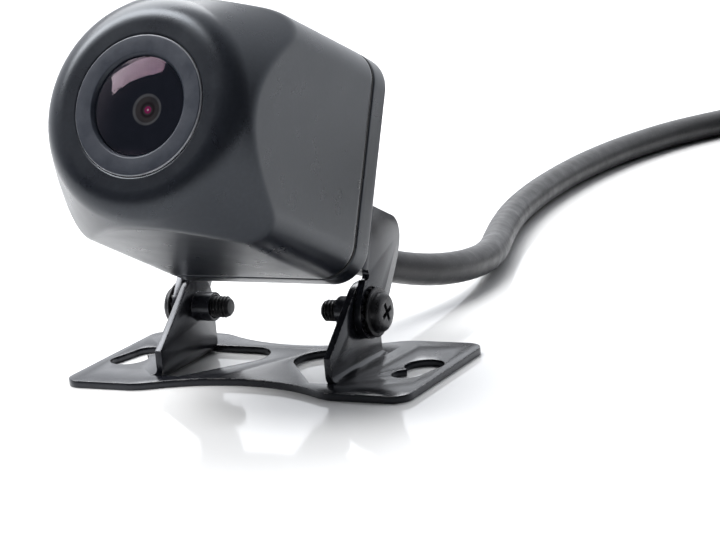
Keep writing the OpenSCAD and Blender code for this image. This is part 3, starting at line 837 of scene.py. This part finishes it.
def skin_ring(z, inset=0.0):
    """The drafted, rounded square where it meets the cone of the nose."""
    nose = NOSE_R + NOSE_K * z
    half = HEAD_HALF - (HOUSING_L - z) * math.tan(DRAFT)
    ring = []
    for a in ring_angles(SIDES):
        r = soft_min(nose, square_reach(a, half, CORNER_R), NOSE_SOFT) - inset
        ring.append(round_point(r, a, z))
    return ring


def housing():
    """From the trim ring's seat over the shoulder and back along the skin, then inside."""
    seat = [(TRIM_SEAT_Z, TRIM_SEAT_R), (0.22, TRIM_SEAT_R), (0.06, 8.87), (0.0, 9.02)]
    flat = [(0.0, r) for r in (9.07, 9.14, 9.6, 10.3, 10.5)]
    shoulder = [
        (SHOULDER_R + z, r)
        for r, z in arc(SHOULDER_C, 0, SHOULDER_R, -90, -math.degrees(NOSE_A), 14)
    ]
    rings = [round_ring(z, r, SIDES) for z, r in seat + flat + shoulder]
    base = shoulder[-1][0]
    rim = HOUSING_L - GASKET_T
    rows = 96
    for i in range(1, rows + 1):
        rings.append(skin_ring(base + (rim - 0.35 - base) * (i / rows) ** 1.35))
    rings += [skin_ring(rim - 0.14, 0.05), skin_ring(rim - 0.04, 0.16), skin_ring(rim, 0.34)]
    rings += [square_ring(z, INSIDE_HALF, 3) for z in (rim, INSIDE_Z)]
    rings += [round_ring(z, BARREL_R, SIDES) for z in (INSIDE_Z, TRIM_SEAT_Z)]
    return stack(rings, closed=True)


housing_piece = build("housing_shell", Shape().add(housing(), lens_axis()))
finish_piece(housing_piece, PAINT, "head", ["front_housing"], angle=40)


def cover():
    """A rounded square plate, by (depth, inset) of its edge from front to back."""
    edge_r = 0.6
    side_end = COVER_T - edge_r
    edge = [(0.0, 0.3), (0.05, 0.12), (0.16, 0.03), (0.36, 0.0), (1.2, 0.0), (2.4, 0.0)]
    edge.append((side_end, 0.0))
    for t in (0.25, 0.5, 0.8, 1.1, 1.35, QUARTER):
        edge.append((side_end + edge_r * math.sin(t), edge_r * (1 - math.cos(t))))
    return stack([square_ring(z, HEAD_HALF, CORNER_R, inset) for z, inset in edge])


def cover_screw_place(x, depth):
    """Frame on a cover screw's axis, depth below the cover's back face."""
    return lens_axis(HOUSING_L + COVER_T - depth) @ Matrix.Translation((x, SCREW_Y, 0))


cover_piece = build("cover_shell", Shape().add(cover(), lens_axis(HOUSING_L)))
pocket = lathe([(0, -1.22), (2, -1.22), (2, 1), (0, 1)], 48)
pockets = Shape()
for x in (-SCREW_X, SCREW_X):
    pockets.add(pocket, cover_screw_place(x, 0))
cut(cover_piece, build("pockets", pockets))
finish_piece(cover_piece, PAINT, "head", ["rear_cover"], angle=40)


def pan_screw(radius, height, thread_r, thread_l, recess):
    """A pan-head screw, the cutter of its recess, and the height of its head."""
    profile = [(0, -thread_l), (thread_r, -thread_l), (thread_r, 0), (radius, 0)]
    dome = min(0.6, height * 0.6)
    profile += arc(radius - dome, height - dome, dome, 0, 90, 6) + [(0, height)]
    return lathe(profile, 64), cross_cutter(recess, recess * 0.24, height * 0.62), height


def fit_screws(name, places, node, radius, height, thread_r, thread_l, recess):
    body, recess_shape, top = pan_screw(radius, height, thread_r, thread_l, recess)
    shape, cutter = Shape(), Shape()
    for place in places:
        shape.add(body, place)
        turned = Matrix.Translation((0, 0, top)) @ Matrix.Rotation(0.6, 4, "Z")
        cutter.add(recess_shape, place @ turned)
    piece = cut(build(name, shape), build(name + "_cut", cutter))
    bevel_edges(piece, 0.05, 40)
    return finish_piece(piece, ZINC, "head", [node])


low_places = [
    HEAD @ Matrix.Translation((x, REAR_Y + 1, AXIS_Z - YOKE_SCREW_DROP)) @ BACKWARD
    for x in (-YOKE_SCREW_X, YOKE_SCREW_X)
]
fit_screws("yoke_screws_cut", low_places, "yoke_screws", 1.9, 1.2, 0.8, 8.9, 1.9)
top_places = [cover_screw_place(x, 1.2) for x in (-SCREW_X, SCREW_X)]
fit_screws("cover_screws_cut", top_places, "cover_screws", 1.8, 1.1, 0.8, 7.8, 1.8)

# ---- lens -----------------------------------------------------------------------------

trim_profile = fillet([
    (6.2, 1.38), (6.2, 0.12), (6.5, -0.25), (7.9, -0.25), (8.58, -0.25), (8.74, -0.09),
    (8.74, 1.38), (6.2, 1.38),
], [0, 0.06, 0.12, 0, 0.05, 0.05, 0.1, 0], 4)[:-1]


def mark_reach(obj):
    """Stores each vertex's distance from the lens axis, in millimetres."""
    reach = obj.data.attributes.new("from_axis", "FLOAT", "POINT")
    inverse = lens_axis().inverted()
    for i, vert in enumerate(obj.data.vertices):
        local = inverse @ (vert.co / MM)
        reach.data[i].value = math.hypot(local.x, local.y)
    return obj


trim_shape = Shape().add(lathe(trim_profile, 160, closed=True), lens_axis())
trim = mark_reach(build("trim_ring_turned", trim_shape))
finish_piece(trim, TRIM, "head", ["trim_ring"])


GLASS_R = 6.17          # edge of the front glass
GLASS_BOW = 16          # radius of its front face
GLASS_TOP = -1.12
HOLLOW_R = 6.0          # edge of the hollow in its back
HOLLOW_DEPTH = 2.7


def bow(radius, reach, z, steps):
    """A spherical face from the axis out to reach, its top at z."""
    out = []
    for i in range(steps + 1):
        x = reach * i / steps
        out.append((x, z + radius - math.sqrt(radius ** 2 - x ** 2)))
    return out


def hollow(x, z):
    """Height of a hollow in the back of the glass, whose edge is at height z."""
    return z + HOLLOW_DEPTH * (1 - (x / HOLLOW_R) ** 2)


front_profile = bow(GLASS_BOW, GLASS_R, GLASS_TOP, 30) + [(GLASS_R, 0.6)]
front_profile += [(x, hollow(x, 0.5)) for x in (6, 5, 4, 3, 2, 1, 0)]
front_glass = build("front_glass", Shape().add(lathe(front_profile, 160), lens_axis()))
finish_piece(front_glass, GLASS, "head", ["front_lens"], angle=30)


def lens_cell():
    """The blackened cell, its face set 0.2 mm into the back of the front glass."""
    back = [(6.15, 1.36), (6.6, 1.5), (6.6, 4.4), (0, 4.4)]
    profile = [(k * 0.1, hollow(k * 0.1, 0.3)) for k in range(61)] + back
    piece = mark_reach(build("lens_cell", Shape().add(lathe(profile, 128), lens_axis())))
    return finish_piece(piece, CELL, "head")


lens_cell()

# ---- bracket and yoke -----------------------------------------------------------------

bracket = bevel_edges(from_cad("base_bracket", "bracket_sheet"), 0.11)
finish_piece(bracket, COAT, "bracket", ["base_bracket"])
yoke = bevel_edges(from_cad("yoke", "yoke_sheet"), 0.11)
finish_piece(yoke, COAT, "head", ["yoke"])


def threaded_rod(length, radius, pitch, chamfer):
    """A rod with a real helical thread and a chamfered tip at z = 0."""
    sides, per_turn = 48, 8
    thread_depth = 0.3
    rows = int(length / pitch * per_turn)
    rings = []
    for j in range(rows + 1):
        z = length * j / rows
        ring = []
        for k, a in enumerate(ring_angles(sides)):
            phase = (z / pitch - k / sides) % 1
            groove = thread_depth * min(1, 1.35 * (1 - abs(2 * phase - 1)))
            ring.append(round_point(min(radius - groove, radius - chamfer + z), a, z))
        rings.append(ring)
    return stack(rings)


SCREW_TIP_X = 7.0       # along the pivot axis, from the middle
WASHER_X = 14.1
SCREW_SEAT_X = 14.6
SCREW_HEAD_H = 1.6


def pivot_screws():
    """The two pan-head screws with their flanges, tips pointing to the middle."""
    shape, cutter = Shape(), Shape()
    rod = threaded_rod(7.55, 1.48, 0.5, 0.5)
    head = fillet(
        [(0, 0), (3.1, 0), (3.3, 0.1), (3.3, 0.3), (3.2, 0.4), (2.65, 0.42), (2.65, 0.8)],
        [0, 0, 0.1, 0.1, 0.05, 0.1, 0], 3,
    )
    head += arc(1.75, 0.7, 0.9, 8, 64, 6)
    head += [(1.6, 1.57), (0.8, SCREW_HEAD_H), (0, SCREW_HEAD_H)]
    for sign in (1, -1):
        shape.add(rod, side_axis(sign, SCREW_TIP_X))
        shape.add(lathe(head, 96), side_axis(sign, SCREW_SEAT_X))
        turn = Matrix.Rotation(0.35 * sign, 4, "Z")
        top = side_axis(sign, SCREW_SEAT_X + SCREW_HEAD_H)
        cutter.add(cross_cutter(3.1, 0.72, 1.15), top @ turn)
    piece = cut(build("pivot_screws_cut", shape), build("recess", cutter))
    return bevel_edges(piece, 0.05, 42)


finish_piece(pivot_screws(), ZINC, "bracket", ["pivot_screws"], angle=38)


def tooth_washer():
    """A lock washer with twisted teeth round its edge, between the flange and the yoke."""
    teeth, per_tooth = 18, 8
    tooth_share = 0.62
    root_r = 2.62
    under, over = 0.1, 0.4
    bore = 1.65
    profile = [
        (bore, under), (2.5, under), (root_r, under), (3.25, 0.0),
        (3.25, 0.32), (root_r, over), (2.5, over), (bore, over),
    ]
    rings = []
    for r, z in profile:
        ring = []
        for k, a in enumerate(ring_angles(teeth * per_tooth)):
            phase = k / per_tooth % 1
            reach, height = r, z
            if phase >= tooth_share:
                reach = min(r, root_r)
                height = under if z < 0.25 else over
            elif r > root_r:
                height += (phase - tooth_share / 2) * 0.4
            ring.append(round_point(reach, a, min(0.5, max(0, height))))
        rings.append(ring)
    return stack(rings, closed=True)


washers = Shape()
for sign in (1, -1):
    washers.add(tooth_washer(), side_axis(sign, WASHER_X))
finish_piece(build("tooth_washers", washers), ZINC, "bracket", ["lock_washers"])

# ---- floor and light ------------------------------------------------------------------

def floor():
    size = 4.0
    mesh = bpy.data.meshes.new("floor")
    corners = [(-size, -size, 0), (size, -size, 0), (size, size, 0), (-size, size, 0)]
    mesh.from_pydata(corners, [], [[0, 1, 2, 3]])
    obj = link("floor", mesh)
    look = Look("floor_white", (0.78, 0.78, 0.78), 0.055)
    look.put("IOR", 1.52)
    look.gloss(look.ramp(look.noise(30, 3), 0.3, 0.7), 0.03)
    mesh.materials.append(look.mat)


def area_light(name, spot, target, size, power, along=(0, 0, 1)):
    """A soft box at spot, facing target, with its long side turned toward along."""
    data = bpy.data.lights.new(name, "AREA")
    data.shape = "RECTANGLE"
    data.size, data.size_y = size
    data.energy = power
    lamp = bpy.data.objects.new(name, data)
    bpy.context.scene.collection.objects.link(lamp)
    away = (Vector(spot) - Vector(target)).normalized()
    tall = (Vector(along) - away * away.dot(Vector(along))).normalized()
    lamp.matrix_world = Matrix((tall.cross(away), tall, away)).transposed().to_4x4()
    lamp.location = spot


def studio():
    """A room that is bright behind the object and dark in front, and two soft boxes."""
    world = bpy.data.worlds.new("studio")
    world.use_nodes = True
    tree = world.node_tree
    sky = tree.nodes["Background"]
    coords = tree.nodes.new("ShaderNodeTexCoord")
    aim = tree.nodes.new("ShaderNodeVectorMath")
    aim.operation = "DOT_PRODUCT"
    aim.inputs[1].default_value = (-0.35, 0.93, 0.1)
    tree.links.new(coords.outputs["Generated"], aim.inputs[0])
    level = tree.nodes.new("ShaderNodeMapRange")
    level.interpolation_type = "SMOOTHSTEP"
    level.inputs["From Min"].default_value = -0.35
    level.inputs["From Max"].default_value = 0.6
    level.inputs["To Min"].default_value = 0.07
    level.inputs["To Max"].default_value = 1.3
    tree.links.new(aim.outputs["Value"], level.inputs["Value"])
    tree.links.new(level.outputs["Result"], sky.inputs["Strength"])
    sky.inputs["Color"].default_value = (0.93, 0.955, 1.0, 1)
    bpy.context.scene.world = world
    area_light("bank", (-0.42, 0.34, 0.75), (0, 0.05, 0), (1.0, 0.55), 12)
    area_light(
        "strip", (-0.5, -0.25, 0.745), (0, -0.03, 0.025), (0.27, 0.72), 9.5, (0.87, -0.11, 0.48),
    )


floor()
studio()
bpy.context.scene.view_settings.view_transform = "Standard"
bpy.context.scene.cycles.caustics_reflective = False
bpy.context.scene.cycles.caustics_refractive = False
